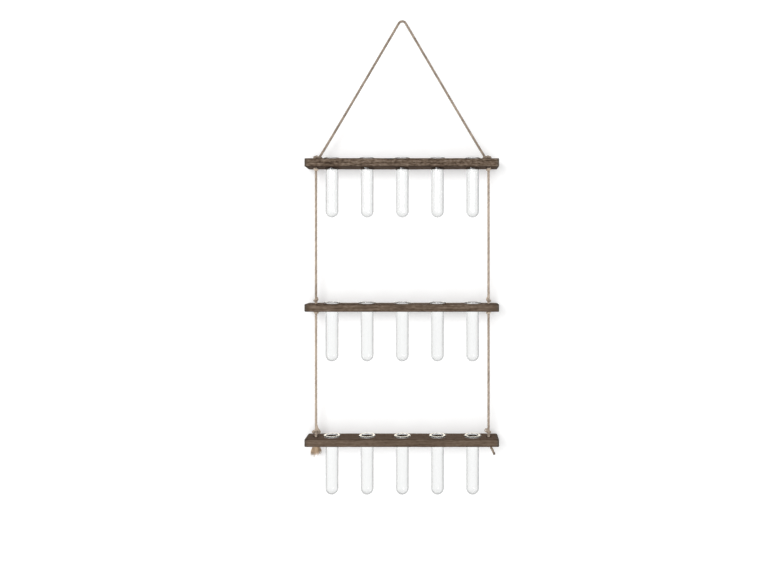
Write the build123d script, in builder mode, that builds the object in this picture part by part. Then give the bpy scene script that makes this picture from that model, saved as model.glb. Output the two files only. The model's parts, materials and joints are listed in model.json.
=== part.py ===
"""Hanging propagation station: three drilled boards on a knotted jute rope, with five test tubes each.

The frame has +Z up, +X along the boards and +Y to the back.
The origin is the middle of the rope's top bend.
All sizes are in millimetres.
"""

import os
from math import asin, atan2, cos, hypot, pi, radians, sin

from build123d import *

# Boards
shelf_length = 300.0
shelf_depth = 38.0
shelf_thickness = 12.0
top_shelf_thickness = 13.4
shelf_corner_radius = 2.5
shelf_edge_radius = 1.0

# Heights: top bend to the top board, then board to board, between their top faces
hanger_drop = 210.0
upper_tier_drop = 225.0
lower_tier_drop = 208.0

# Test tubes: a straight wall, a round bottom and a rolled lip that rests on the board
tubes_per_shelf = 5
tube_diameter = 20.0
tube_wall = 1.2
tube_length = 93.0
lip_overhang = 3.1
lip_height = 2.2
lip_round = 1.0
lip_throat_round = 0.9
lip_root_round = 0.3
lip_seat_gap = 0.1
tube_hole_clearance = 0.4
tube_hole_easing = 0.5
end_tube_to_rope = 25.0

# Rope, its holes in the boards and its bend at the top
rope_diameter = 3.5
rope_hole_inset = 15.0
rope_hole_clearance = 1.0
top_bend_inner_diameter = 9.0
swing_gap = 0.3

# Knots: wraps of rope round its own axis, seated in the boards from below and tied just above them
knot_wraps = 3
seated_knot_wraps = 2
knot_diameter = 8.0
knot_wrap_pitch = 2.8
knot_groove = 1.0
loose_knot_diameter = 10.5
loose_knot_wrap_pitch = 3.6
middle_knot_lift = 1.5
bottom_knot_lift = 4.0
knot_seat_depth = 4.0
knot_seat_clearance = 0.4
leg_height = 3.0

# Loose ends under the bottom board: one cut short and leaning out, one frayed
tail_gap = 0.1
cut_end_length = 14.3
cut_end_lean_degrees = 24.4
cut_end_offset = 2.3
fray_length = 15.0
fray_root_diameter = 7.0
fray_diameter = 17.0
fray_hollow = 0.8

# Worked out from the sizes above
shelf_tops = {
    "top": -hanger_drop,
    "middle": -hanger_drop - upper_tier_drop,
    "bottom": -hanger_drop - upper_tier_drop - lower_tier_drop,
}
shelf_thicknesses = {"top": top_shelf_thickness, "middle": shelf_thickness, "bottom": shelf_thickness}
tier_above = {"middle": "top", "bottom": "middle"}
rope_radius = rope_diameter / 2
rope_hole_x = shelf_length / 2 - rope_hole_inset
rope_places = {"left": -rope_hole_x, "right": rope_hole_x}
tube_pitch = 2 * (rope_hole_x - end_tube_to_rope) / (tubes_per_shelf - 1)
tube_radius = tube_diameter / 2
bore_radius = tube_radius - tube_wall
tube_hole_radius = tube_radius + tube_hole_clearance
knot_radius = knot_diameter / 2

# A knot over the top board sits on the wood, and the lower ones are tied a little above it
over_knot_base = {"top": 0.0, "middle": middle_knot_lift, "bottom": bottom_knot_lift}
# A knot under a board fills its seat and ends in a round dome below the board, which the rope swings about
dome_radius = knot_radius - knot_groove
under_knot_top = {tier: knot_seat_depth - shelf_thicknesses[tier] for tier in shelf_tops}
dome_centre = {tier: under_knot_top[tier] - seated_knot_wraps * knot_wrap_pitch for tier in shelf_tops}


def save(part, node):
    """Label a finished piece and write it as one STEP file."""
    part.label = node
    export_step(part, f"parts/{node}.step")


def upright_plane(x, z):
    """A plane that faces the viewer, with its origin at (x, z), for profiles and routes."""
    return Plane(origin=(x, 0, z), x_dir=(1, 0, 0), z_dir=(0, -1, 0))


def make_shelf(tier):
    """A board with eased edges, drilled for its tubes and, near each end, for the rope and its lower knot."""
    top = Plane.XY.offset(shelf_tops[tier])
    thickness = shelf_thicknesses[tier]
    with BuildPart() as shelf:
        with BuildSketch(top):
            RectangleRounded(shelf_length, shelf_depth, shelf_corner_radius)
        extrude(amount=-thickness)
        fillet(shelf.faces().filter_by(Axis.Z).edges(), shelf_edge_radius)
        with BuildSketch(top):
            with GridLocations(tube_pitch, 0, tubes_per_shelf, 1):
                Circle(tube_hole_radius)
            with GridLocations(2 * rope_hole_x, 0, 2, 1):
                Circle(rope_radius + rope_hole_clearance)
        holes = extrude(amount=-thickness, mode=Mode.SUBTRACT)
        rims = holes.edges().filter_by(GeomType.CIRCLE)
        chamfer(rims.filter_by(lambda rim: rim.radius >= tube_radius), tube_hole_easing)
        with BuildSketch(top.offset(-thickness)):
            with GridLocations(2 * rope_hole_x, 0, 2, 1):
                Circle(knot_radius + knot_seat_clearance)
        extrude(amount=knot_seat_depth, mode=Mode.SUBTRACT)
    save(shelf.part, f"shelf_{tier}")


def make_test_tube(tier, number):
    """A round-bottomed glass tube, turned from one profile, which hangs in its hole by the rolled lip."""
    x = (number - (tubes_per_shelf + 1) / 2) * tube_pitch
    mouth = lip_seat_gap + lip_height
    foot = mouth - tube_length
    lip_radius = tube_radius + lip_overhang
    lip_corners = {
        (tube_radius, lip_seat_gap): lip_root_round,
        (lip_radius, lip_seat_gap): lip_round,
        (lip_radius, mouth): lip_round,
        (bore_radius, mouth): lip_throat_round,
    }
    with BuildPart() as test_tube:
        with BuildSketch(upright_plane(x, shelf_tops[tier])) as profile:
            with BuildLine():
                outside = JernArc((0, foot), (1, 0), tube_radius, 90)
                inside = JernArc((0, foot + tube_wall), (1, 0), bore_radius, 90)
                Polyline(outside @ 1, *lip_corners, inside @ 1)
                Line(inside @ 0, outside @ 0)
            make_face()
            for corner, rounding in lip_corners.items():
                fillet(profile.vertices().sort_by_distance(corner)[:1], rounding)
        revolve(axis=Axis((x, 0, 0), (0, 0, 1)))
    save(test_tube.part, f"test_tube_{tier}_{number}")


def make_over_knot(tier, side):
    """A knot above a board: wraps of rope between two flat ends."""
    loose = (tier, side) == ("bottom", "left")
    radius = (loose_knot_diameter if loose else knot_diameter) / 2
    pitch = loose_knot_wrap_pitch if loose else knot_wrap_pitch
    waist = radius - knot_groove
    height = knot_wraps * pitch
    x = rope_places[side]
    with BuildPart() as knot:
        with BuildSketch(upright_plane(x, shelf_tops[tier] + over_knot_base[tier])):
            with BuildLine():
                for wrap in range(knot_wraps):
                    low = wrap * pitch
                    ThreePointArc((waist, low), (radius, low + pitch / 2), (waist, low + pitch))
                Polyline((waist, 0), (0, 0), (0, height), (waist, height))
            make_face()
        revolve(axis=Axis((x, 0, 0), (0, 0, 1)))
    save(knot.part, f"knot_over_{tier}_{side}")
    return height


def make_under_knot(tier, side):
    """A knot under a board, with the rope's stem up through the hole, wraps in the seat and a dome below."""
    x = rope_places[side]
    with BuildPart() as knot:
        with BuildSketch(upright_plane(x, shelf_tops[tier])):
            with BuildLine():
                for wrap in range(seated_knot_wraps):
                    low = dome_centre[tier] + wrap * knot_wrap_pitch
                    high = low + knot_wrap_pitch
                    ThreePointArc((dome_radius, low), (knot_radius, (low + high) / 2), (dome_radius, high))
                dome = JernArc((0, dome_centre[tier] - dome_radius), (1, 0), dome_radius, 90)
                Polyline(
                    dome @ 0,
                    (0, over_knot_base[tier]),
                    (rope_radius, over_knot_base[tier]),
                    (rope_radius, under_knot_top[tier]),
                    (dome_radius, under_knot_top[tier]),
                )
            make_face()
        revolve(axis=Axis((x, 0, 0), (0, 0, 1)))
    save(knot.part, f"knot_under_{tier}_{side}")


def make_upright_rope(tier, side, knot_height):
    """A taut run from just under the knot of the board above down to the knot over its own board."""
    above = tier_above[tier]
    top = shelf_tops[above] + dome_centre[above] - dome_radius - swing_gap
    bottom = shelf_tops[tier] + over_knot_base[tier] + knot_height
    with BuildPart() as rope:
        with BuildSketch(Plane(origin=(rope_places[side], 0, bottom))):
            Circle(rope_radius)
        extrude(amount=top - bottom)
    save(rope.part, f"rope_{tier}_{side}")


def make_hanger_rope():
    """The taut V of rope, from beside one knot on the top board to beside the other."""
    bend_radius = top_bend_inner_diameter / 2 + rope_radius
    foot_x = rope_hole_x - knot_radius - swing_gap - rope_radius
    foot_z = shelf_tops["top"] + leg_height
    # Each leg is tangent to the bend, so the two legs would meet in a point above it
    leg_lean = atan2(foot_x, -foot_z) - asin(bend_radius / hypot(foot_x, foot_z))
    meeting_point = (0, bend_radius / sin(leg_lean))
    with BuildPart() as rope:
        with BuildLine(upright_plane(0, 0)):
            route = FilletPolyline((-foot_x, foot_z), meeting_point, (foot_x, foot_z), radius=[bend_radius])
        with BuildSketch(Plane(origin=route @ 0, z_dir=route % 0)):
            Circle(rope_radius)
        sweep()
    save(rope.part, "hanger_rope")
    volume_ratio = rope.part.volume / (pi * rope_radius**2 * route.length)
    print(f"hanger_rope: length {route.length:.1f}, bend {bend_radius:.2f}, volume ratio {volume_ratio:.4f}")


def make_cut_end():
    """The rope's right end: a stub that leaves its knot off the middle and leans out to a clean cut."""
    lean = radians(cut_end_lean_degrees)
    knot_plane = Plane(
        origin=(rope_places["right"], 0, shelf_tops["bottom"] + dome_centre["bottom"]),
        x_dir=(cos(lean), 0, sin(lean)),
        z_dir=(sin(lean), 0, -cos(lean)),
    )
    with BuildPart() as rope:
        with BuildSketch(knot_plane.offset(dome_radius + tail_gap)):
            with Locations((cut_end_offset, 0)):
                Circle(rope_radius)
        extrude(amount=cut_end_length)
    save(rope.part, "rope_tail_right")


def make_frayed_end():
    """The rope's left end: its fibres, let loose from the knot, spread as they hang."""
    start = shelf_tops["bottom"] + dome_centre["bottom"] - dome_radius - tail_gap
    x = rope_places["left"]
    root = (fray_root_diameter / 2, 0)
    tip = (fray_diameter / 2, -fray_length)
    hollow = ((root[0] + tip[0]) / 2 - fray_hollow, -fray_length / 2)
    with BuildPart() as fray:
        with BuildSketch(upright_plane(x, start)):
            with BuildLine():
                ThreePointArc(root, hollow, tip)
                Polyline(tip, (0, -fray_length), (0, 0), root)
            make_face()
        revolve(axis=Axis((x, 0, 0), (0, 0, 1)))
    save(fray.part, "rope_tail_left")


os.makedirs("parts", exist_ok=True)
for tier in shelf_tops:
    make_shelf(tier)
    for number in range(1, tubes_per_shelf + 1):
        make_test_tube(tier, number)
    for side in rope_places:
        over_knot_height = make_over_knot(tier, side)
        make_under_knot(tier, side)
        if tier in tier_above:
            make_upright_rope(tier, side, over_knot_height)
make_hanger_rope()
make_cut_end()
make_frayed_end()
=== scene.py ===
"""Looks of the hanging propagation station: stained boards, clear test tubes and a knotted jute rope.

Lengths are in metres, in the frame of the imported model: +Z up, +X along the boards, +Y to the back.
"""

import json
import math

import bmesh
import bpy
import numpy as np
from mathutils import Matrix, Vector, noise


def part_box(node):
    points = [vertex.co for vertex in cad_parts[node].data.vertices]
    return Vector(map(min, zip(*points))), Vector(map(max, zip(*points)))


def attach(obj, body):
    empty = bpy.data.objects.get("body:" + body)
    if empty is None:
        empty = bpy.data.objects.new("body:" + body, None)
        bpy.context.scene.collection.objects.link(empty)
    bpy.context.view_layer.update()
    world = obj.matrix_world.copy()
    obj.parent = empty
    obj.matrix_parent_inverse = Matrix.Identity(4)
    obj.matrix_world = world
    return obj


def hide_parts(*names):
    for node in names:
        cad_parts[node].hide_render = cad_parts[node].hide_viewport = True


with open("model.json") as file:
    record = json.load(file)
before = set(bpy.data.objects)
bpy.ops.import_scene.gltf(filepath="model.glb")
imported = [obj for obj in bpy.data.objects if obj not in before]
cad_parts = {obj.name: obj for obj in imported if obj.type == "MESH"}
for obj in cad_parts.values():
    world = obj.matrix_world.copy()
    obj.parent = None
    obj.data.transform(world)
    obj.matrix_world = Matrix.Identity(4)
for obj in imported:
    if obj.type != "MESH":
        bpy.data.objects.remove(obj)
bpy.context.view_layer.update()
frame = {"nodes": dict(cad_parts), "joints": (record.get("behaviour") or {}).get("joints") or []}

TIERS = ("top", "middle", "bottom")
SIDES = ("left", "right")
TUBES = range(1, 6)


def box_size(node):
    low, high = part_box(node)
    return high - low


def box_middle(node):
    low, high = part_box(node)
    return (low + high) / 2


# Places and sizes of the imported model
SHELF_TOP = {tier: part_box(f"shelf_{tier}")[1].z for tier in TIERS}
ROPE_X = {side: box_middle(f"rope_middle_{side}").x for side in SIDES}
TUBE_X = [box_middle(f"test_tube_top_{number}").x for number in TUBES]
TUBE_RADIUS = 0.010
PIVOT = {joint["child"]: joint["pos_m"][2] for joint in frame["joints"] if joint["type"] == "hinge"}
# The middle of each board's lower knot, where the rope below it begins
KNOT_DOME_RADIUS = 0.003
LOWER_KNOT = {tier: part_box(f"knot_under_{tier}_left")[0].z + KNOT_DOME_RADIUS for tier in TIERS}

# Rope: three strands laid round each other, each with yarns that show as ridges
# Its diameter is its mean width, so the strands' crowns stand a little further out
ROPE_DIAMETER = box_size("rope_middle_left").x
ROPE_RADIUS = ROPE_DIAMETER / 2
STRANDS = 3
STRAND_SHARE = 0.58
OFFSET_SHARE = 0.58
LAY_LENGTH = 0.0105
YARNS = 3
YARN_RIDGE = 0.09
YARN_LAY = 0.0075
STRAND_SWELL = 0.07
SWELL_RATES = (410, 930, 1570)
STRAND_TONES = (-0.05, 0.05)
RING_STEP = 0.0007
RING_SIDES = 12
SPLINE_STEPS = 48
# A direction that no rope or hair starts along
SIDE_HINT = (0.3, 1.0, 0.2)
# An upright run's inner points, in diameters from its ends
RUN_POINT_DIAMETERS = 6
# The V and the cut end are darker than the upright runs
HANGER_TONE = -0.08
CUT_END_TONE = -0.12

# Loose hairs that stand off the rope, with their roots within so many ring points of a strand's crown
HAIRS_PER_METRE = 1300
HAIR_ROOT_POINTS = 3
HAIR_LENGTHS = (0.0008, 0.0022)
HAIR_OUTWARD = (0.2, 0.6)
HAIR_CURL = 0.15
HAIR_RADIUS = 0.00004
HAIR_TAPER = 0.7
HAIR_RINGS = 5
HAIR_SIDES = 3
HAIR_TONE = 0.08

# An overhand knot's own strand: down its upper right lobe, across the front, round the back and in again
OVERHAND = [
    (0.0, 0.8, 5.2),
    (1.8, 0.4, 4.6),
    (3.6, -0.8, 3.0),
    (2.2, -3.0, 1.2),
    (-1.4, -3.3, -0.8),
    (-3.7, -1.2, -2.4),
    (-3.2, 1.8, -2.2),
    (-0.6, 3.2, -0.4),
    (2.6, 2.6, 1.4),
    (3.4, 0.2, 0.4),
    (1.8, -1.0, -2.2),
    (0.4, -0.6, -4.2),
    (0.0, 0.0, -5.4),
]
OVERHAND_REACH = 3.4
OVERHAND_HEIGHT = 10.0

# Other knots, in millimetres from the rope and the knot's base: the top knots' hitch round the leg's foot,
# a thin bight in the last right knot, and the loose last left knot, which is widest at its base
HITCH = [
    (-3.0, 0.6, 3.2),
    (-2.0, -2.8, 4.0),
    (3.0, -3.2, 3.6),
    (7.4, -2.4, 2.8),
    (8.2, 2.2, 2.6),
    (3.0, 3.2, 3.2),
    (-2.0, 2.6, 3.4),
    (-3.0, 0.6, 3.2),
]
BIGHT = [
    (-0.5, -1.6, 3.2),
    (-3.6, -2.2, 2.8),
    (-6.0, -1.2, 4.6),
    (-5.4, -0.8, 8.0),
    (-2.2, -1.4, 8.0),
    (0.4, -0.6, 5.6),
]
LOOSE_KNOT = [
    (0.3, 0.3, 13.5),
    (1.4, -0.8, 11.0),
    (3.2, -2.2, 7.4),
    (6.0, -1.8, 4.0),
    (5.4, 1.8, 1.4),
    (0.4, 3.6, 1.0),
    (-4.4, 2.2, 1.6),
    (-5.0, -1.4, 3.4),
    (-2.2, -3.4, 5.4),
    (1.6, -3.0, 6.8),
    (2.4, 0.4, 6.4),
    (0.8, 1.4, 2.4),
    (0.0, 0.0, -1.0),
]
KNOT_SQUEEZE = 0.9
BIGHT_SIZE = 0.45
TOP_KNOT_SHARE = 0.72
TOP_KNOT_TONE = -0.10
# Painted light: the knots under the boards and their stems are painted lighter, as they sit in shade
UNDER_KNOT_PAINTED_LIGHT = 0.15
# The upper points of a lower knot's stem, measured from the board's top face
STEM_POINTS = (0.002, -0.004)

# The frayed end's locks: how far out the tip hangs, its share of the drop, the spread, how many fibres
# and the tone
# The tones are raised overall, as painted light in the shade among the fibres
FRAY_LOCKS = [
    (-0.0070, 0.90, 0.0009, 60, 0.10),
    (-0.0072, 1.12, 0.0004, 24, 0.00),
    (-0.0036, 0.88, 0.0014, 110, 0.20),
    (-0.0026, 1.16, 0.0004, 28, 0.00),
    (-0.0002, 0.86, 0.0020, 130, 0.24),
    (0.0032, 0.90, 0.0014, 90, 0.18),
    (0.0064, 0.80, 0.0010, 60, 0.00),
    (0.0082, 0.74, 0.0006, 20, -0.08),
]
FRAY_RINGS = 9
FRAY_SIDES = 5
FRAY_FIBRE_RADIUS = 0.00014
FRAY_LENGTHS = (0.65, 1.0)
FRAY_ROOT_DEPTH = 0.002
FRAY_ROOT_RADIUS = 0.0020
# The share of a lock's lean that its roots have, and how much it bows out and swells before its tip
FRAY_ROOT_LEAN = 0.35
FRAY_BOW = 0.4
FRAY_SWELL = 1.5
FRAY_CURL = 0.05
FRAY_TONES = (-0.06, 0.06)
FRAY_TIP_DARKENING = 0.3

# Boards: the relief cut into their faces, the wear of their edges and their dark colour, partly painted
# shade, and the wood in and near their holes, painted dark as shade
BOARD_VOXEL = 0.00065
NOISE_SHIFT = 10
GRAIN_DEPTH = {"top": 0.00022, "middle": 0.00012, "bottom": 0.00012}
GRAIN_STRETCH = (22, 520, 520)
WAVE_DEPTH = {"top": 0.00028, "middle": 0.00012, "bottom": 0.00012}
WAVE_STRETCH = (14, 70, 70)
CHIP_STRETCH = (90, 90, 90)
CHIP_BIAS = 0.35
WEAR_DEPTH = 0.0004
WEAR_REACH = 0.003
# How dark the edges are painted, partly as stain and partly as painted shade
EDGE_TONE = 0.75
EDGE_TONE_SPREAD = 0.6
END_FACING = 0.7
END_REACH = 0.006
END_RELIEF_SHARE = 0.3
SEAT_RADIUS = 0.0145
SEAT_RELIEF_SHARE = 0.15
# The reach of the holes' mask, which sets their relief and their painted shade
TUBE_HOLE_MARGIN = 0.0008
ROPE_HOLE_DIAMETERS = 1.3
# Each board's figure: where its grain is drawn, its stain's level, the grain's contrast and waviness,
# and its mottling
FIGURES = {
    "top": (0.0, 0.557, 1.3, 0.012, 1.4),
    "middle": (0.37, 0.516, 1.2, 0.007, 0.7),
    "bottom": (0.74, 0.512, 0.75, 0.007, 0.35),
}

# Seeds of the random draws. Those of the upper and lower knots and the runs get their place's number added
HANGER_SEED = 1
OVER_KNOT_SEED = 100
UNDER_KNOT_SEED = 200
FRAY_SEED = 301
CUT_END_SEED = 302
RUN_SEED = 400


class Nodes:
    """A node tree, with short calls that add a node and join its inputs."""

    def __init__(self, tree):
        self.tree = tree

    def feed(self, socket, value):
        """Join a socket to another one, or set its own value."""
        if isinstance(value, bpy.types.NodeSocket):
            self.tree.links.new(value, socket)
        else:
            socket.default_value = value

    def add(self, kind, inputs=(), **settings):
        """Add a node, with its inputs as a dictionary of names or numbers and its settings by name."""
        node = self.tree.nodes.new(f"ShaderNode{kind}")
        for key, value in settings.items():
            setattr(node, key, value)
        for key, value in dict(inputs).items():
            self.feed(node.inputs[key], value)
        return node

    def math(self, operation, first, second=0.0):
        return self.add("Math", {0: first, 1: second}, operation=operation).outputs[0]

    def vector_math(self, operation, first, second=(0, 0, 0)):
        node = self.add("VectorMath", {0: first, 1: second}, operation=operation)
        return node.outputs["Value" if operation == "LENGTH" else "Vector"]

    def stretched_noise(self, place, stretch, detail=4.0, roughness=0.55):
        """Noise with its own frequency, per metre, along each axis."""
        scaled = self.vector_math("MULTIPLY", place, stretch)
        settings = {"Vector": scaled, "Scale": 1.0, "Detail": detail, "Roughness": roughness}
        return self.add("TexNoise", settings)

    def ramp(self, value, stops):
        """Colours between stops, each a place from 0 to 1 and a colour or a grey."""
        node = self.add("ValToRGB", {"Fac": value})
        elements = node.color_ramp.elements
        while len(elements) < len(stops):
            elements.new(1.0)
        for element, (position, colour) in zip(elements, stops):
            element.position = position
            element.color = (*colour, 1) if hasattr(colour, "__len__") else (colour, colour, colour, 1)
        return node.outputs["Color"]

    def mix(self, factor, first, second, blend="MIX"):
        node = self.add("Mix", {0: factor, 6: first, 7: second}, data_type="RGBA", blend_type=blend)
        return node.outputs[2]

    def attribute(self, name, output="Fac"):
        return self.add("Attribute", attribute_name=name).outputs[output]


class Shader(Nodes):
    """A new material and its node tree."""

    def __init__(self, name):
        self.material = bpy.data.materials.new(name)
        self.material.use_nodes = True
        super().__init__(self.material.node_tree)
        self.surface = self.tree.nodes["Principled BSDF"]
        self.output = self.tree.nodes["Material Output"]

    def finish(self, **inputs):
        """Set the surface's inputs, where an underscore stands for a space."""
        for key, value in inputs.items():
            self.feed(self.surface.inputs[key.replace("_", " ")], value)
        return self.material


def wood_material(tier, shift, level, contrast, waviness, mottling):
    """Dark-stained pine with rings, fibres, pores and blotches; painted light on top, painted shade below,
    in holes and partly on edges.
    """
    ring_axis = (0, 0.012, -0.035)
    ring_lean = (0, 0.010, 0.014)
    ring_width = 0.0034
    shader = Shader(f"stained_wood_{tier}")
    coordinates = shader.add("TexCoord")
    shelf = (0, 0, SHELF_TOP[tier])
    place = shader.vector_math("SUBTRACT", coordinates.outputs["Object"], shelf)
    drawn = shader.vector_math("ADD", place, (shift, shift, 0))
    warp = shader.stretched_noise(drawn, (9, 50, 50), detail=3.0).outputs["Color"]
    warp = shader.vector_math("SUBTRACT", warp, (0.5, 0.5, 0.5))
    warp = shader.vector_math("MULTIPLY", warp, (0, waviness, waviness))
    leaning = shader.add("Mapping", {"Vector": place, "Rotation": ring_lean}).outputs[0]
    from_axis = shader.vector_math("SUBTRACT", shader.vector_math("ADD", leaning, warp), ring_axis)
    radius = shader.vector_math("LENGTH", shader.vector_math("MULTIPLY", from_axis, (0, 1, 1)))
    rings = shader.math("FRACT", shader.math("DIVIDE", radius, ring_width))
    rings = shader.ramp(rings, [(0.0, 0.75), (0.55, 0.6), (0.86, 0.16), (1.0, 0.75)])
    fibres = shader.stretched_noise(drawn, (28, 1000, 1000), detail=5.0).outputs["Fac"]
    blotches = shader.stretched_noise(drawn, (16, 60, 60), detail=3.0).outputs["Fac"]
    mottles = shader.stretched_noise(drawn, (170, 420, 420), detail=2.0).outputs["Fac"]
    pores = shader.stretched_noise(drawn, (110, 2600, 2600), detail=2.0).outputs["Fac"]
    pores = shader.ramp(pores, [(0.60, 0.0), (0.68, 1.0)])
    # Rings, fibres and blotches by weight, then spread about their mean and set to the board's level
    mean = 0.69
    value = shader.math("ADD", shader.math("MULTIPLY", rings, 0.26), shader.math("MULTIPLY", fibres, 0.60))
    value = shader.math("ADD", value, shader.math("MULTIPLY", blotches, 0.50))
    spread = shader.math("MULTIPLY", shader.math("SUBTRACT", value, mean), contrast)
    value = shader.math("ADD", spread, level)
    mottles = shader.math("MULTIPLY", shader.math("SUBTRACT", mottles, 0.5), mottling)
    value = shader.math("ADD", value, mottles)
    colour = shader.ramp(
        value,
        [
            (0.18, (0.034, 0.022, 0.015)),
            (0.42, (0.100, 0.069, 0.048)),
            (0.60, (0.158, 0.115, 0.083)),
            (0.85, (0.250, 0.192, 0.146)),
        ],
    )
    colour = shader.mix(shader.math("MULTIPLY", pores, 0.5), colour, (0.022, 0.014, 0.010, 1))
    # The colour paints light and shade: lighter and redder on top, darker below and in the holes, darker
    # along the edges partly as stain and partly as painted shade, and the ends are grey
    normal = shader.add("SeparateXYZ", {0: coordinates.outputs["Normal"]})
    # Painted light: the top faces are lighter and redder
    upper = shader.ramp(normal.outputs["Z"], [(0.5, 0.0), (0.9, 0.25)])
    colour = shader.mix(upper, colour, (0.180, 0.090, 0.058, 1))
    # Painted shade: the undersides are darker
    under = shader.ramp(shader.math("MULTIPLY", normal.outputs["Z"], -1.0), [(0.5, 0.0), (0.9, 0.68)])
    colour = shader.mix(under, colour, (0.052, 0.028, 0.018, 1))
    end_grain = shader.ramp(shader.math("ABSOLUTE", normal.outputs["X"]), [(0.55, 0.0), (0.9, 0.7)])
    end_grain = shader.math("MAXIMUM", end_grain, shader.math("MULTIPLY", shader.attribute("end"), 0.6))
    colour = shader.mix(end_grain, colour, (0.078, 0.074, 0.064, 1))
    # Painted shade in the holes and round the rope, and along the edges partly stain, partly painted shade
    dark = shader.math("MAXIMUM", shader.attribute("drilled"), shader.attribute("edge"))
    colour = shader.mix(shader.math("MULTIPLY", dark, 0.8), colour, (0.026, 0.017, 0.012, 1))
    roughness = shader.ramp(fibres, [(0.3, 0.75), (0.7, 0.95)])
    height = shader.math("SUBTRACT", value, shader.math("MULTIPLY", pores, 0.6))
    bump = shader.add("Bump", {"Strength": 0.5, "Distance": 0.0004, "Height": height})
    return shader.finish(
        Base_Color=colour,
        Roughness=roughness,
        Normal=bump.outputs[0],
        Specular_IOR_Level=0.08,
    )


def glass_material():
    """Clear drawn glass, with slight smears, faintly grey, and darkened where it is seen edge on: a painted
    shade.
    """
    shader = Shader("clear_glass")
    place = shader.add("TexCoord").outputs["Object"]
    smears = shader.stretched_noise(place, (260, 260, 60), detail=3.0).outputs["Fac"]
    roughness = shader.ramp(smears, [(0.55, 0.0), (0.85, 0.02)])
    # Painted shade: the glass is tinted dark where it is seen edge on
    edge_on = shader.add("LayerWeight", {"Blend": 0.5}).outputs["Facing"]
    tint_and_edge_shade = shader.ramp(
        edge_on,
        [
            (0.30, (0.972, 0.976, 0.974)),
            (0.58, (0.830, 0.838, 0.835)),
            (0.80, (0.300, 0.310, 0.307)),
            (1.00, (0.080, 0.084, 0.083)),
        ],
    )
    return shader.finish(Base_Color=tint_and_edge_shade, Roughness=roughness, Transmission_Weight=1.0, IOR=1.49)


def jute_material(name, darkest, dark, pale, palest):
    """Natural jute: pale and dark fibres that run along each strand, with uneven patches."""
    shader = Shader(name)
    fibre = shader.attribute("fibre", "Vector")
    streaks = shader.stretched_noise(fibre, (260, 3.2, 3.2), detail=5.0, roughness=0.65).outputs["Fac"]
    place = shader.add("TexCoord").outputs["Object"]
    patches = shader.stretched_noise(place, (55, 55, 55), detail=3.0).outputs["Fac"]
    value = shader.math("ADD", shader.math("MULTIPLY", streaks, 0.7), shader.math("MULTIPLY", patches, 0.3))
    value = shader.math("ADD", value, shader.attribute("tone"))
    colour = shader.ramp(value, [(0.30, darkest), (0.46, dark), (0.58, pale), (0.75, palest)])
    roughness = shader.ramp(streaks, [(0.3, 0.95), (0.7, 0.72)])
    bump = shader.add("Bump", {"Strength": 0.6, "Distance": 0.0002, "Height": streaks})
    return shader.finish(
        Base_Color=colour,
        Roughness=roughness,
        Normal=bump.outputs[0],
        Specular_IOR_Level=0.2,
        Sheen_Weight=0.25,
        Sheen_Roughness=0.5,
    )


def show(obj, material, body):
    """Link a finished piece, and give it its material and body."""
    bpy.context.scene.collection.objects.link(obj)
    obj.data.materials.append(material)
    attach(obj, body)
    return obj


def noise_at(places, stretch, shift):
    """Smooth noise from -1 to 1 at each place, with its own frequency along each axis."""
    return np.array([noise.noise(place) for place in (places * stretch + shift).tolist()])


def fine_mesh(node):
    """A node's solid as a new mesh with small, even faces."""
    welded = bmesh.new()
    welded.from_mesh(node.data)
    bmesh.ops.remove_doubles(welded, verts=welded.verts, dist=1e-6)
    mesh = bpy.data.meshes.new(node.name)
    welded.to_mesh(mesh)
    welded.free()
    holder = bpy.data.objects.new(node.name, mesh)
    bpy.context.scene.collection.objects.link(holder)
    remesh = holder.modifiers.new("remesh", "REMESH")
    remesh.mode = "VOXEL"
    remesh.voxel_size = BOARD_VOXEL
    soften = holder.modifiers.new("soften", "SMOOTH")
    soften.factor = 0.5
    soften.iterations = 2
    bpy.context.view_layer.update()
    fine = bpy.data.meshes.new_from_object(holder.evaluated_get(bpy.context.evaluated_depsgraph_get()))
    bpy.data.objects.remove(holder)
    return fine


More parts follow.
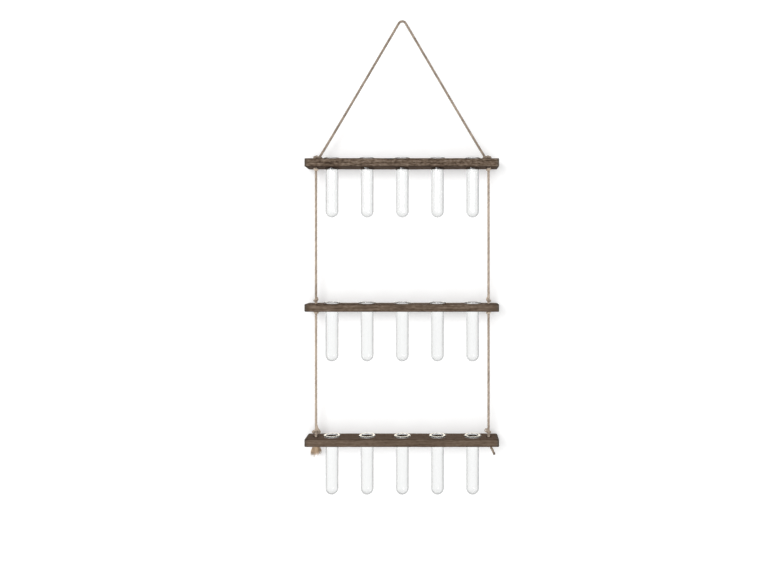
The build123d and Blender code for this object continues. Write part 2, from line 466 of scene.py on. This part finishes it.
def weathered_board(tier, material):
    """A board's own solid as a fine mesh, with open grain cut into its faces, worn edges, and masks for the
    painted shade in its holes and along its edges.
    """
    node = frame["nodes"][f"shelf_{tier}"]
    mesh = fine_mesh(node)
    number = len(mesh.vertices)
    places = np.empty(number * 3)
    normals = np.empty(number * 3)
    mesh.vertices.foreach_get("co", places)
    mesh.vertex_normals.foreach_get("vector", normals)
    places = places.reshape(-1, 3)
    normals = normals.reshape(-1, 3)
    low, high = (np.array(corner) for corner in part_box(node.name))
    from_faces = np.sort(np.minimum(places - low, high - places), axis=1)
    near_edge = np.clip(1 - np.maximum(from_faces[:, 1], 0) / WEAR_REACH, 0, 1) ** 2
    from_tube = np.min([np.hypot(places[:, 0] - x, places[:, 1]) for x in TUBE_X], axis=0)
    from_rope = np.min([np.hypot(places[:, 0] - x, places[:, 1]) for x in ROPE_X.values()], axis=0)
    in_tube_hole = from_tube < TUBE_RADIUS + TUBE_HOLE_MARGIN
    drilled = in_tube_hole | (from_rope < ROPE_DIAMETER * ROPE_HOLE_DIAMETERS)
    shift = NOISE_SHIFT * TIERS.index(tier)
    grain = noise_at(places, GRAIN_STRETCH, shift)
    waves = noise_at(places, WAVE_STRETCH, shift)
    chips = noise_at(places, CHIP_STRETCH, shift)
    depth = GRAIN_DEPTH[tier] * (0.5 + 0.5 * grain) + WAVE_DEPTH[tier] * (0.5 + 0.5 * waves)
    depth += WEAR_DEPTH * near_edge * np.maximum(0, CHIP_BIAS + chips)
    depth *= np.where(np.abs(normals[:, 0]) > END_FACING, END_RELIEF_SHARE, 1.0)
    depth *= np.where((from_tube < SEAT_RADIUS) | drilled, SEAT_RELIEF_SHARE, 1.0)
    mesh.vertices.foreach_set("co", (places - normals * depth[:, None]).ravel())
    # Where the colour is darkened: the edges partly as stain and partly as painted shade, the holes as
    # painted shade
    edge = np.where(drilled, 0, near_edge * np.clip(EDGE_TONE + EDGE_TONE_SPREAD * chips, 0, 1))
    end = np.clip(1 - np.minimum(places[:, 0] - low[0], high[0] - places[:, 0]) / END_REACH, 0, 1)
    for name, values in (("edge", edge), ("end", end), ("drilled", drilled.astype(float))):
        mesh.attributes.new(name, "FLOAT", "POINT").data.foreach_set("value", values)
    mesh.shade_smooth()
    board = show(bpy.data.objects.new(f"board_{tier}", mesh), material, f"{tier}_tier")
    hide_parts(node.name)


def spline_points(route):
    """Points along a smooth line that has the route as its control points."""
    curve = bpy.data.curves.new("route", "CURVE")
    curve.dimensions = "3D"
    spline = curve.splines.new("NURBS")
    spline.points.add(len(route) - 1)
    for point, place in zip(spline.points, route):
        point.co = (*place, 1)
    spline.order_u = 3
    spline.use_endpoint_u = True
    spline.resolution_u = SPLINE_STEPS
    holder = bpy.data.objects.new("route", curve)
    mesh = bpy.data.meshes.new_from_object(holder)
    points = np.array([vertex.co for vertex in mesh.vertices])
    bpy.data.meshes.remove(mesh)
    bpy.data.curves.remove(curve)
    return points


def unit(vectors):
    return vectors / np.linalg.norm(vectors, axis=-1, keepdims=True)


def evenly_spaced(line):
    """A line's places one ring apart, and how far along it each one is."""
    along = np.concatenate([[0], np.cumsum(np.linalg.norm(np.diff(line, axis=0), axis=1))])
    at = np.linspace(0, along[-1], max(3, round(along[-1] / RING_STEP) + 1))
    return np.stack([np.interp(at, along, line[:, axis]) for axis in range(3)], axis=1), at


def carried_frame(line):
    """A line's direction and two directions across it, carried along it without twist."""
    forward = unit(np.gradient(line, axis=0))
    across = np.zeros_like(line)
    across[0] = unit(np.cross(forward[0], SIDE_HINT))
    for i in range(1, len(line)):
        across[i] = unit(across[i - 1] - forward[i] * (across[i - 1] @ forward[i]))
    return forward, across, np.cross(forward, across)


class Fibres:
    """The rings of many tubes, gathered into one mesh with each point's place along its fibre."""

    def __init__(self, seed):
        self.random = np.random.default_rng(seed)
        self.points = []
        self.faces = []
        self.fibre = []
        self.tone = []
        self.count = 0

    def add_tube(self, rings, along, tone):
        """A closed tube through rings of points, an array of rings by sides by 3."""
        number, sides = rings.shape[:2]
        ring = np.arange(number - 1)[:, None] * sides
        side = np.arange(sides)
        after = (side + 1) % sides
        quads = np.stack([ring + side, ring + after, ring + sides + after, ring + sides + side], axis=-1)
        self.faces += (quads.reshape(-1, 4) + self.count).tolist()
        last = self.count + (number - 1) * sides
        self.faces.append((self.count + side[::-1]).tolist())
        self.faces.append((last + side).tolist())
        self.points.append(rings.reshape(-1, 3))
        turn = 2 * np.pi * side / sides
        fibre = np.empty((number, sides, 3))
        fibre[..., 0] = along[:, None]
        fibre[..., 1] = np.cos(turn)
        fibre[..., 2] = np.sin(turn)
        self.fibre.append(fibre.reshape(-1, 3))
        self.tone.append(np.repeat(np.broadcast_to(tone, number), sides))
        self.count += number * sides

    def add_rope(self, line, size, tone, tip_tone):
        """Three ridged strands laid round a line, with loose hairs. Size is a share of the rope's own."""
        middle, along = evenly_spaced(line)
        _, across, beside = carried_frame(middle)
        start = self.random.uniform(0, 2 * np.pi)
        turn = 2 * np.pi * np.arange(RING_SIDES) / RING_SIDES
        tone = np.where(along > along[-1] - ROPE_DIAMETER, tone + tip_tone, tone)
        for strand in range(STRANDS):
            angle = (2 * np.pi * (along / (LAY_LENGTH * size) + strand / STRANDS) + start)[:, None]
            outward = across * np.cos(angle) + beside * np.sin(angle)
            core = middle + OFFSET_SHARE * ROPE_RADIUS * size * outward
            run = unit(np.gradient(core, axis=0))
            outward = unit(outward - run * (outward * run).sum(1, keepdims=True))
            around = np.cross(run, outward)
            phases = self.random.uniform(0, 2 * np.pi, len(SWELL_RATES))
            waves = [np.sin(along * rate + phase) for rate, phase in zip(SWELL_RATES, phases)]
            swell = sum(waves) / len(waves)
            ridges = np.cos(YARNS * turn + (2 * np.pi * along / YARN_LAY)[:, None])
            radius = STRAND_SHARE * ROPE_RADIUS * size
            radius = radius * (1 + STRAND_SWELL * swell[:, None]) * (1 + YARN_RIDGE * ridges)
            spokes = outward[:, None] * np.cos(turn)[:, None] + around[:, None] * np.sin(turn)[:, None]
            rings = core[:, None] + radius[..., None] * spokes
            self.add_tube(rings, along + strand, tone + self.random.uniform(*STRAND_TONES))
            self.add_hairs(rings, run, along[-1] * HAIRS_PER_METRE / STRANDS)

    def add_hairs(self, rings, run, number):
        """Short hairs that leave a strand at a low angle."""
        for _ in range(round(number)):
            ring = self.random.integers(0, len(rings))
            root = rings[ring, self.random.integers(-HAIR_ROOT_POINTS, HAIR_ROOT_POINTS + 1)]
            away = unit(root - rings[ring].mean(axis=0))
            onward = run[ring] * self.random.choice((-1, 1))
            heading = unit(onward + away * self.random.uniform(*HAIR_OUTWARD))
            length = self.random.uniform(*HAIR_LENGTHS)
            curl = self.random.normal(0, HAIR_CURL, 3)
            self.add_hair(root, heading, length, curl, HAIR_RADIUS, HAIR_RINGS, HAIR_SIDES, HAIR_TONE)

    def add_hair(self, root, heading, length, curl, radius, rings, sides, tone):
        """One hair: a thin tapered tube that curls away from its heading."""
        share = np.linspace(0, 1, rings)[:, None]
        line = root + length * (share * heading + share**2 * curl)
        _, across, beside = carried_frame(line)
        turn = 2 * np.pi * np.arange(sides) / sides
        spokes = across[:, None] * np.cos(turn)[:, None] + beside[:, None] * np.sin(turn)[:, None]
        width = radius * (1 - HAIR_TAPER * share)
        along = share[:, 0] * length + self.random.uniform(0, 1)
        self.add_tube(line[:, None] + width[..., None] * spokes, along, tone)

    def build(self, name):
        """The gathered tubes as one object."""
        mesh = bpy.data.meshes.new(name)
        mesh.from_pydata(np.concatenate(self.points).tolist(), [], self.faces)
        fibre = mesh.attributes.new("fibre", "FLOAT_VECTOR", "POINT")
        fibre.data.foreach_set("vector", np.concatenate(self.fibre).ravel())
        tone = mesh.attributes.new("tone", "FLOAT", "POINT")
        tone.data.foreach_set("value", np.concatenate(self.tone))
        mesh.shade_smooth()
        return bpy.data.objects.new(name, mesh)


def overhand_route(x, low, high, width, mirror):
    """The overhand knot's route, fitted to a knot's place and outer size."""
    reach = (width / 2 - ROPE_RADIUS * KNOT_SQUEEZE) / OVERHAND_REACH
    rise = (high - low - ROPE_RADIUS * KNOT_SQUEEZE) / OVERHAND_HEIGHT
    middle = (low + high) / 2
    return [(x + mirror * px * reach, py * reach, middle + pz * rise) for px, py, pz in OVERHAND]


def placed(points, x, base, mirror=1):
    """A knot's points in millimetres, set beside a rope at the height of the knot's base."""
    return [(x + mirror * px / 1000, py / 1000, base + pz / 1000) for px, py, pz in points]


def place_number(tier, side):
    """A number of its own for each end of each board."""
    return 10 * TIERS.index(tier) + SIDES.index(side)


def rope_piece(name, routes, seed, body, node, tone=0.0, tip_tone=0.0):
    """A piece of rope along routes, each with its size, in place of a node, and its first route's line."""
    fibres = Fibres(seed)
    lines = [(spline_points(route), size) for route, size in routes]
    for line, size in lines:
        fibres.add_rope(line, size, tone, tip_tone)
    piece = show(fibres.build(name), JUTE, body)
    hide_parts(node)
    return piece, lines[0][0]


def over_knot(tier, side):
    """The knot above a board. The top ones are pulled down hard, with a hitch round the leg's foot."""
    node = f"knot_over_{tier}_{side}"
    low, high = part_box(node)
    x = ROPE_X[side]
    mirror = 1 if side == "left" else -1
    height = high.z - low.z
    tone = 0.0
    if tier == "top":
        height *= TOP_KNOT_SHARE
        tone = TOP_KNOT_TONE
    routes = [(overhand_route(x, low.z, low.z + height, high.x - low.x, mirror), KNOT_SQUEEZE)]
    if tier == "top":
        routes.append((placed(HITCH, x, low.z, mirror), KNOT_SQUEEZE))
    if (tier, side) == ("bottom", "left"):
        routes = [(placed(LOOSE_KNOT, x, low.z), 1.0)]
    if (tier, side) == ("bottom", "right"):
        routes.append((placed(BIGHT, x, low.z), BIGHT_SIZE))
    seed = OVER_KNOT_SEED + place_number(tier, side)
    return rope_piece(f"jute_{node}", routes, seed, f"{tier}_tier", node, tone)[0]


def under_knot(tier, side):
    """The knot under a board, in its seat, and the rope's own stem up through the hole."""
    node = f"knot_under_{tier}_{side}"
    low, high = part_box(node)
    x = ROPE_X[side]
    mirror = -1 if side == "left" else 1
    seat = LOWER_KNOT[tier] + KNOT_DOME_RADIUS
    knot = overhand_route(x, low.z, seat, high.x - low.x, mirror)
    stem = [(x, 0, SHELF_TOP[tier] + height) for height in STEM_POINTS]
    stem.append((x, 0, LOWER_KNOT[tier]))
    routes = [(knot, KNOT_SQUEEZE), (stem, 1.0)]
    seed = UNDER_KNOT_SEED + place_number(tier, side)
    # Painted light: the knot and its stem are painted lighter
    return rope_piece(f"jute_{node}", routes, seed, f"{tier}_tier", node, UNDER_KNOT_PAINTED_LIGHT)[0]


def frayed_end():
    """The rope's left end: its yarns let loose into locks that spread out of the knot and end in wisps."""
    low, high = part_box("rope_tail_left")
    fibres = Fibres(FRAY_SEED)
    draw = fibres.random
    top = np.array((ROPE_X["left"], 0, high.z + FRAY_ROOT_DEPTH))
    down = np.array((0, 0, -1.0))
    darkening = FRAY_TIP_DARKENING * np.linspace(0, 1, FRAY_RINGS) ** 3
    for lean, share, spread, number, tone in FRAY_LOCKS:
        for _ in range(number):
            angle = draw.uniform(0, 2 * math.pi)
            side = np.array((math.cos(angle), math.sin(angle), 0.0)) * math.sqrt(draw.uniform(0, 1))
            root = top + side * FRAY_ROOT_RADIUS + np.array((FRAY_ROOT_LEAN * lean, 0, 0))
            length = (top[2] - low.z) * share * draw.uniform(*FRAY_LENGTHS)
            out = np.array(((1 - FRAY_ROOT_LEAN) * lean, 0, 0)) / length
            swell = side * FRAY_SWELL * spread / length
            heading = down + (1 + FRAY_BOW) * out + swell
            curl = -FRAY_BOW * out - swell + draw.normal(0, FRAY_CURL, 3)
            shade = tone + draw.uniform(*FRAY_TONES) - darkening
            fibres.add_hair(root, heading, length, curl, FRAY_FIBRE_RADIUS, FRAY_RINGS, FRAY_SIDES, shade)
    # Its material is painted lighter, partly as painted light
    piece = show(fibres.build("jute_frayed_end"), LOOSE_JUTE_PAINTED_LIGHTER, "bottom_tier")
    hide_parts("rope_tail_left")
    return piece


def cut_end():
    """The rope's right end, which leans out to a clean cut that is darker still."""
    route = [(0.1356, 0, -0.6555), (0.1374, 0, -0.6570), (0.1384, 0, -0.6585), (0.1443, 0, -0.6715)]
    tones = {"tone": CUT_END_TONE, "tip_tone": CUT_END_TONE}
    node = "rope_tail_right"
    return rope_piece("jute_cut_end", [(route, 1.0)], CUT_END_SEED, "bottom_tier", node, **tones)[0]


def hanger():
    """The V of rope over its top bend, whose feet turn into the knots on the top board."""
    # The right half's points, as x and z, from the knot up
    foot = [(0.135, PIVOT["top_tier"]), (0.1320, -0.2078), (0.12895, -0.207)]
    bend = [(0.0163, -0.0155), (0.0072, 0.0), (0.0036, 0.0062)]
    half = foot + bend
    route = [(-x, 0, z) for x, z in half] + [(x, 0, z) for x, z in reversed(half)]
    routes = [(route, 1.0)]
    piece, line = rope_piece("jute_hanger", routes, HANGER_SEED, "hanger", "hanger_rope", HANGER_TONE)


def upright_run(tier, side):
    """A taut run from inside the knot above down through its own board."""
    x = ROPE_X[side]
    top = PIVOT[f"{tier}_tier"]
    bottom = LOWER_KNOT[tier]
    near_end = RUN_POINT_DIAMETERS * ROPE_DIAMETER
    route = [(x, 0, top), (x, 0, top - near_end), (x, 0, bottom + near_end), (x, 0, bottom)]
    name = f"jute_run_{tier}_{side}"
    seed = RUN_SEED + place_number(tier, side)
    piece, line = rope_piece(name, [(route, 1.0)], seed, f"{tier}_tier", f"rope_{tier}_{side}")


def plain_material(name, colour, roughness):
    """A matt stage surface with barely uneven paint."""
    shader = Shader(name)
    place = shader.add("TexCoord").outputs["Object"]
    mottle = shader.stretched_noise(place, (9, 9, 9), detail=3.0).outputs["Fac"]
    darker = tuple(0.985 * c for c in colour)
    shader.finish(Base_Color=shader.ramp(mottle, [(0.3, darker), (0.7, colour)]), Roughness=roughness)
    return shader


def plane(name, corners, material):
    """A flat stage piece from its four corners."""
    mesh = bpy.data.meshes.new(name)
    mesh.from_pydata(corners, [], [(0, 1, 2, 3)])
    mesh.materials.append(material)
    obj = bpy.data.objects.new(name, mesh)
    bpy.context.scene.collection.objects.link(obj)
    return obj


def make_stage():
    """A pale backdrop close behind the boards, seen from its front only, and a pale floor below."""
    back, floor, half, far = 0.021, -0.92, 12.0, 40.0
    shader = plain_material("pale_backdrop", (0.92, 0.92, 0.92), 0.9)
    shader.finish(Emission_Color=(1, 1, 1, 1), Emission_Strength=0.17)
    clear = shader.add("BsdfTransparent")
    behind = shader.add("NewGeometry").outputs["Backfacing"]
    either = shader.add("MixShader", {0: behind, 1: shader.surface.outputs[0], 2: clear.outputs[0]})
    shader.feed(shader.output.inputs["Surface"], either.outputs[0])
    corners = [(-half, back, floor), (half, back, floor), (half, back, half), (-half, back, half)]
    backdrop = plane("backdrop", corners, shader.material)
    backdrop.visible_shadow = False
    backdrop.visible_diffuse = False
    backdrop.visible_glossy = False
    backdrop.visible_transmission = False
    corners = [(-far, -far, floor), (far, -far, floor), (far, far, floor), (-far, far, floor)]
    shader = plain_material("pale_floor", (0.85, 0.85, 0.845), 0.8)
    shader.finish(Emission_Color=(1, 1, 1, 1), Emission_Strength=0.4)
    ground = plane("floor", corners, shader.material)
    ground.visible_diffuse = False
    ground.visible_transmission = False


def make_light():
    """Soft light, strongest from the front and straight behind, and a wide lamp at the left."""
    # Brightness from straight behind, at 0, to the front, at 1
    around = [(0.0, 0.82), (0.04, 0.82), (0.10, 0.58), (0.36, 0.58), (0.46, 0.48), (0.75, 0.75), (1.0, 1.0)]
    # Two wide patches behind, one to each side, shade the tubes' edges: how dense each is and its grey
    right_patch, left_patch = (0.14, 0.0), (0.7, 0.9)
    # A bright warm strip behind and above, which shows only where the lips of the tubes reflect it
    strip_colour = (3.0, 2.8, 2.4, 1)
    scene = bpy.context.scene
    world = bpy.data.worlds.new("studio")
    world.use_nodes = True
    nodes = Nodes(world.node_tree)
    direction = nodes.add("SeparateXYZ", {0: nodes.add("TexCoord").outputs["Generated"]})
    frontal = nodes.math("SUBTRACT", 0.5, nodes.math("MULTIPLY", direction.outputs["Y"], 0.5))
    light = nodes.ramp(frontal, around)
    rightward = direction.outputs["X"]
    leftward = nodes.math("MULTIPLY", rightward, -1.0)
    rear = nodes.ramp(direction.outputs["Y"], [(0.3, 0.0), (0.5, 1.0)])
    near_level = nodes.ramp(nodes.math("ABSOLUTE", direction.outputs["Z"]), [(0.36, 1.0), (0.48, 0.0)])
    for way, (density, grey) in ((rightward, right_patch), (leftward, left_patch)):
        patch = nodes.ramp(way, [(0.10, 0.0), (0.30, 1.0), (0.64, 1.0), (0.85, 0.0)])
        patch = nodes.math("MULTIPLY", patch, nodes.math("MULTIPLY", near_level, rear))
        light = nodes.mix(nodes.math("MULTIPLY", patch, density), light, (grey, grey, grey, 1))
    straight = nodes.ramp(direction.outputs["Y"], [(0.80, 0.0), (0.88, 1.0)])
    above = nodes.ramp(direction.outputs["Z"], [(0.12, 0.0), (0.18, 1.0), (0.36, 1.0), (0.46, 0.0)])
    reflected = nodes.add("LightPath").outputs["Is Reflection Ray"]
    strip = nodes.math("MULTIPLY", nodes.math("MULTIPLY", straight, above), reflected)
    light = nodes.mix(strip, light, strip_colour)
    level = nodes.ramp(direction.outputs["Z"], [(0.35, 1.0), (0.75, 0.45), (1.0, 0.35)])
    background = nodes.tree.nodes["Background"]
    nodes.feed(background.inputs["Color"], nodes.mix(1.0, light, level, "MULTIPLY"))
    background.inputs["Strength"].default_value = 1.2
    scene.world = world
    lamp = bpy.data.lights.new("key", "AREA")
    lamp.size = 1.1
    lamp.energy = 15
    key = bpy.data.objects.new("key", lamp)
    key.location = (-0.9, -2.1, 0.2)
    aim = Vector((0, 0, -0.35))
    key.rotation_euler = (aim - key.location).to_track_quat("-Z", "Y").to_euler()
    scene.collection.objects.link(key)
    scene.view_settings.view_transform = "Standard"


def make_camera():
    """The photograph's view: level and square to the boards.

    Its line of sight meets the picture right of its middle and above it.
    """
    image_width, image_height = 768, 576
    focal_pixels = 680
    vanishing_x, vanishing_y = 435, 258
    sensor = 36.0
    data = bpy.data.cameras.new("camera")
    data.sensor_width = sensor
    data.lens = sensor * focal_pixels / image_width
    data.shift_x = (image_width / 2 - vanishing_x) / image_width
    data.shift_y = (vanishing_y - image_height / 2) / image_width
    camera = bpy.data.objects.new("camera", data)
    camera.location = (0.0512, -1.064, -0.364)
    camera.rotation_euler = (math.radians(90), 0, 0)
    bpy.context.scene.collection.objects.link(camera)
    bpy.context.scene.camera = camera


JUTE = jute_material(
    "jute",
    darkest=(0.170, 0.130, 0.098),
    dark=(0.430, 0.345, 0.270),
    pale=(0.625, 0.515, 0.415),
    palest=(0.820, 0.690, 0.560),
)
# The loose fibres' colour: paler and warmer, partly their own and partly painted light for the shade among
# them and under the board
LOOSE_JUTE_PAINTED_LIGHTER = jute_material(
    "loose_jute_painted_lighter",
    darkest=(0.290, 0.205, 0.120),
    dark=(0.620, 0.450, 0.290),
    pale=(0.790, 0.595, 0.405),
    palest=(0.890, 0.725, 0.530),
)
GLASS = glass_material()

for tier in TIERS:
    weathered_board(tier, wood_material(tier, *FIGURES[tier]))
    for number in TUBES:
        tube = frame["nodes"][f"test_tube_{tier}_{number}"]
        tube.material_slots[0].material = GLASS
        tube.visible_shadow = False
        tube.visible_diffuse = False

knots = {}
for tier in TIERS:
    for side in SIDES:
        knots[tier, side] = [over_knot(tier, side), under_knot(tier, side)]
knots["bottom", "left"].append(frayed_end())
knots["bottom", "right"].append(cut_end())
hanger()
for tier in ("middle", "bottom"):
    for side in SIDES:
        upright_run(tier, side)

make_stage()
make_light()
make_camera()
